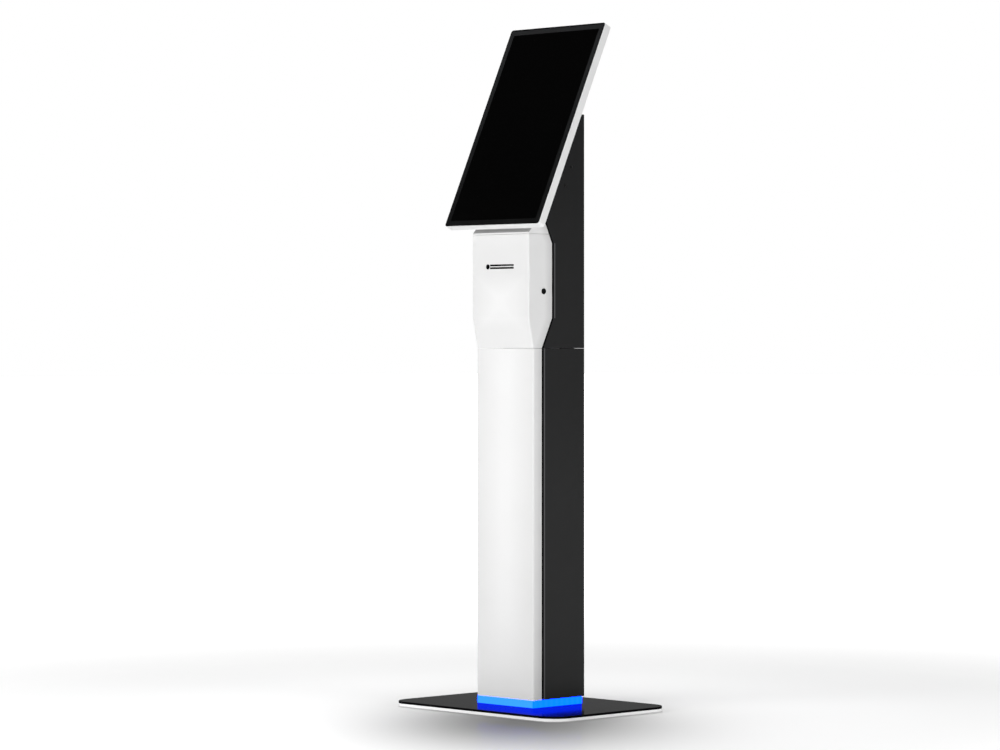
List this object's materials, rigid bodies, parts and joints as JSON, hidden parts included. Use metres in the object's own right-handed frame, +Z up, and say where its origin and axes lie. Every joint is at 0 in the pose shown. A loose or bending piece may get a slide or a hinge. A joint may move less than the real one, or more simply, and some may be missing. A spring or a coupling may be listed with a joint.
{
  "type": "self-service kiosk",
  "caption": "Floor-standing self-service kiosk: leaning portrait touch screen, lockable printer head, slim two-tone column with a lit foot and a flat base plate.",
  "frame": {"origin": "centre of the base plate on the floor", "axes": "+Z up, the screen and the door face -Y, +X is to the right seen from the front"},
  "size_m": [0.528, 0.368, 1.5381],
  "materials": {
    "white_paint": "satin powder coat, white",
    "dark_paint": "fine textured powder coat, near black",
    "black_gloss": "gloss black enamel",
    "spacer": "matt black",
    "opal": "opal diffuser, lit blue",
    "tape": "white tape with light chips",
    "zinc": "bright zinc plate",
    "dark_screws": "black oxide",
    "chrome": "bright nickel",
    "alloy": "natural",
    "rubber": "matt",
    "glass": "gloss, black printed border",
    "panel": "screen, off",
    "black_plastic": "fine spark texture",
    "grey_plastic": "light texture",
    "gear_plastic": "natural acetal",
    "motor": "nickel plated can",
    "board": "green circuit board",
    "paper": "smooth thermal paper, edge of a wound roll"
  },
  "bodies": {
    "stand": {"base_plate": "white_paint", "lower_cover": "white_paint", "collar": "white_paint", "screen_case": "white_paint", "lower_body": "dark_paint", "upper_body": "dark_paint", "base_cover": "black_gloss", "column_spacers": "spacer", "head_spacers": "spacer", "light_diffuser": "opal", "led_tape": "tape", "column_frame": "zinc", "band_core": "zinc", "head_cradle": "zinc", "printer_shelf": "zinc", "screen_carrier": "zinc", "heel_bolts": "zinc", "base_screws": "zinc", "rear_screws": "zinc", "cover_clips": "zinc", "body_hinge_leaves": "zinc", "hinge_pins": "zinc", "lock_keeper": "zinc", "pod_screws": "zinc", "lid_pin": "zinc", "power_supply": "zinc", "side_screws": "dark_screws", "roll_spindle": "alloy", "heat_sink": "alloy", "print_head": "alloy", "rubber_feet": "rubber", "cover_glass": "glass", "display_panel": "panel", "electronics_pod": "black_plastic", "printer_chassis": "black_plastic", "cutter_housing": "black_plastic", "mains_inlet": "black_plastic", "mains_lead": "black_plastic", "screen_lead": "black_plastic", "printer_lead": "black_plastic", "light_lead": "black_plastic", "feed_motor": "motor", "main_board": "board"},
    "front_door": {"door": "white_paint", "door_hinge_leaves": "zinc", "outlet_guide": "spacer", "status_light": "spacer", "lock_body": "chrome", "lock_nut": "zinc"},
    "door_lock": {"lock_plug": "chrome", "lock_cam": "zinc"},
    "lid": {"printer_lid": "grey_plastic"},
    "platen": {"platen_roller": "rubber"},
    "idler": {"idler_gear": "gear_plastic"},
    "pinion": {"motor_pinion": "gear_plastic"},
    "roll": {"paper_roll": "paper"},
    "blade": {"cutter_blade": "zinc"},
    "feed_key": {"feed_button": "grey_plastic"},
    "rocker": {"power_rocker": "black_plastic"},
    "power_key": {"power_button": "black_plastic"}
  },
  "joints": [
    {"name": "door_swing", "type": "hinge", "parent": "stand", "child": "front_door", "pos_m": [-0.0926, -0.0162, 0.95], "axis": [0, 0, -1], "range_deg": [0, 110]},
    {"name": "lock_turn", "type": "hinge", "parent": "front_door", "child": "door_lock", "pos_m": [0.08, -0.0445, 0.93625], "axis": [1, 0, 0], "range_deg": [0, 90]},
    {"name": "lid_lift", "type": "hinge", "parent": "stand", "child": "lid", "pos_m": [0, -0.0125, 0.999], "axis": [-1, 0, 0], "range_deg": [0, 65]},
    {"name": "platen_turn", "type": "hinge", "parent": "lid", "child": "platen", "pos_m": [0, -0.0565, 0.99985], "axis": [1, 0, 0], "continuous": true},
    {"name": "idler_turn", "type": "hinge", "parent": "stand", "child": "idler", "pos_m": [0.035, -0.0565, 0.9889], "axis": [1, 0, 0], "continuous": true},
    {"name": "pinion_turn", "type": "hinge", "parent": "stand", "child": "pinion", "pos_m": [0.035, -0.04677, 0.98536], "axis": [1, 0, 0], "continuous": true},
    {"name": "roll_turn", "type": "hinge", "parent": "stand", "child": "roll", "pos_m": [0, -0.0315, 0.893], "axis": [1, 0, 0], "continuous": true},
    {"name": "blade_cut", "type": "slide", "parent": "stand", "child": "blade", "axis": [0, 0, 1], "range_m": [0, 0.006]},
    {"name": "feed_press", "type": "slide", "parent": "stand", "child": "feed_key", "axis": [0, 1, 0], "range_m": [0, 0.001], "stiffness_N_per_m": 300},
    {"name": "rocker_tilt", "type": "hinge", "parent": "stand", "child": "rocker", "pos_m": [0.068, 0.0825, 0.107], "axis": [1, 0, 0], "range_deg": [-8, 8]},
    {"name": "power_press", "type": "slide", "parent": "stand", "child": "power_key", "axis": [0, -0.9063, 0.4226], "range_m": [0, 0.001], "stiffness_N_per_m": 300}
  ],
  "couplings": [
    {"joint": "platen_turn", "follows": "roll_turn", "ratio": -8},
    {"joint": "idler_turn", "follows": "roll_turn", "ratio": 5.0909},
    {"joint": "pinion_turn", "follows": "roll_turn", "ratio": -9.3333}
  ]
}
